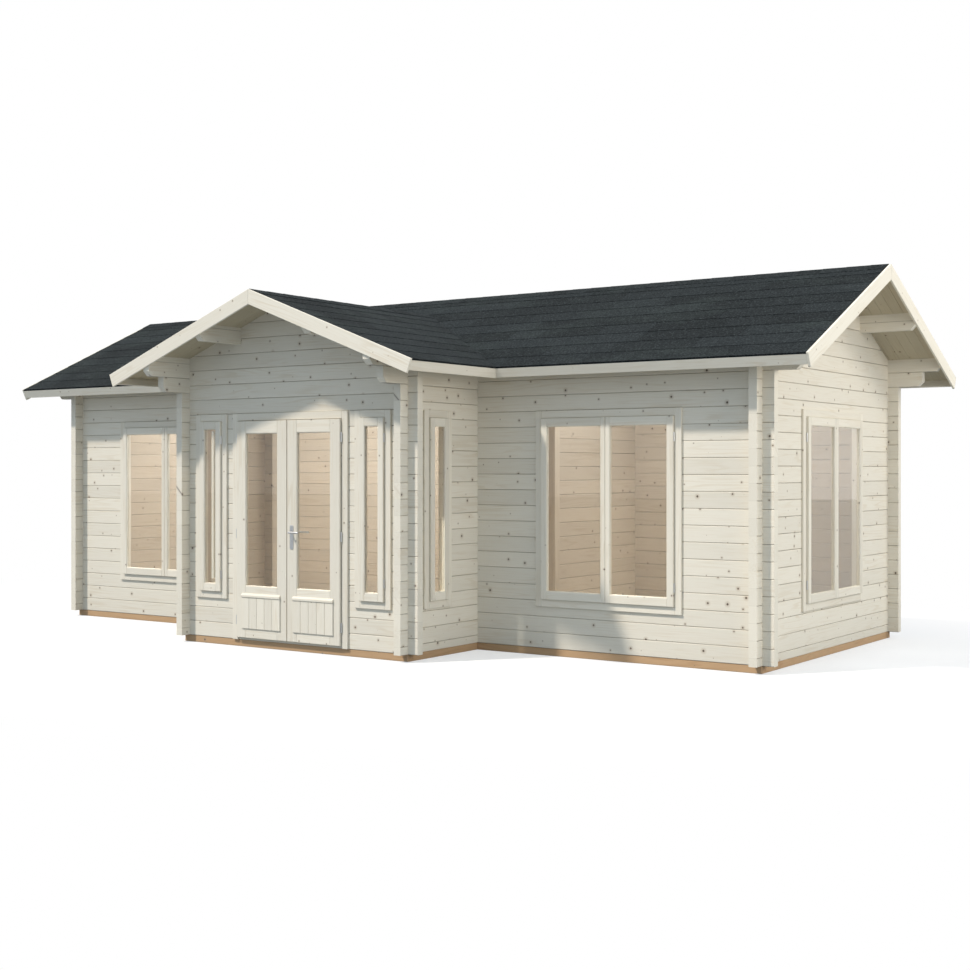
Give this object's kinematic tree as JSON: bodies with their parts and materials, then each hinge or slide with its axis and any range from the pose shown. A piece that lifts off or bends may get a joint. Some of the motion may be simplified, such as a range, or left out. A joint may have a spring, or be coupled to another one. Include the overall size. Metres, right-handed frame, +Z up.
{
  "type": "log cabin",
  "caption": "Gabled log cabin with crossed log corners, a gabled bay at its front, a glazed double door that opens outward, casement windows and a shingle roof.",
  "frame": {"origin": "on the ground, under the middle of the roof's outline", "axes": "+X along the ridge to the right as seen from the door, +Y from the door to the back wall, +Z up"},
  "size_m": [9.02, 4.83, 3.3151],
  "materials": {
    "log_wood": "pale whitewashed spruce logs with fine grain and small knots",
    "trim_wood": "pale whitewashed planed boards",
    "roof_wood": "pale tongue-and-groove boards",
    "joinery_wood": "pale whitewashed planed joinery",
    "door_wood": "pale whitewashed planed joinery",
    "floor_wood": "planed spruce boards",
    "beam_wood": "brown pressure-treated timber",
    "shingle": "charcoal mineral-coated bitumen shingles",
    "glass": "clear double-glazed units",
    "handle_steel": "satin"
  },
  "bodies": {
    "cabin": {"back_eave_logs": "log_wood", "back_fascia": "trim_wood", "back_wall": "log_wood", "bay_bargeboards": "trim_wood", "bay_eave_logs": "log_wood", "bay_fascias": "trim_wood", "bay_front_wall_left": "log_wood", "bay_front_wall_right": "log_wood", "bay_gable_wall": "log_wood", "bay_left_wall": "log_wood", "bay_purlins": "log_wood", "bay_right_wall": "log_wood", "bay_roof_boards": "roof_wood", "bay_shingles": "shingle", "door_frame": "joinery_wood", "double_window_frames": "joinery_wood", "double_window_glass": "glass", "double_window_sashes": "joinery_wood", "floor_boards": "floor_wood", "foundation_beams": "beam_wood", "front_eave_logs": "log_wood", "front_fascias": "trim_wood", "front_wall_left": "log_wood", "front_wall_right": "log_wood", "left_bargeboards": "trim_wood", "left_gable_wall": "log_wood", "main_purlins": "log_wood", "narrow_window_frames": "joinery_wood", "narrow_window_glass": "glass", "narrow_window_sashes": "joinery_wood", "partition_far_wall": "log_wood", "partition_near_wall": "log_wood", "partition_top_wall": "log_wood", "right_bargeboards": "trim_wood", "right_gable_wall": "log_wood", "roof_boards_back": "roof_wood", "roof_boards_front": "roof_wood", "shingles_back": "shingle", "shingles_front": "shingle"},
    "left_door": {"left_door_leaf": "door_wood", "left_door_glass": "glass"},
    "right_door": {"right_door_leaf": "door_wood", "right_door_glass": "glass", "door_handle_plates": "handle_steel"},
    "door_lever": {"door_lever": "handle_steel"}
  },
  "joints": [
    {"name": "left_door_hinge", "type": "hinge", "parent": "cabin", "child": "left_door", "pos_m": [-0.611, -1.92, 0], "axis": [0, 0, -1], "range_deg": [0, 110]},
    {"name": "right_door_hinge", "type": "hinge", "parent": "cabin", "child": "right_door", "pos_m": [0.611, -1.92, 0], "axis": [0, 0, 1], "range_deg": [0, 110]},
    {"name": "lever_turn", "type": "hinge", "parent": "right_door", "child": "door_lever", "pos_m": [0.059, -1.933, 1.04], "axis": [0, 1, 0], "range_deg": [0, 45], "stiffness_Nm_per_rad": 1.5, "springref_deg": -34.38}
  ]
}
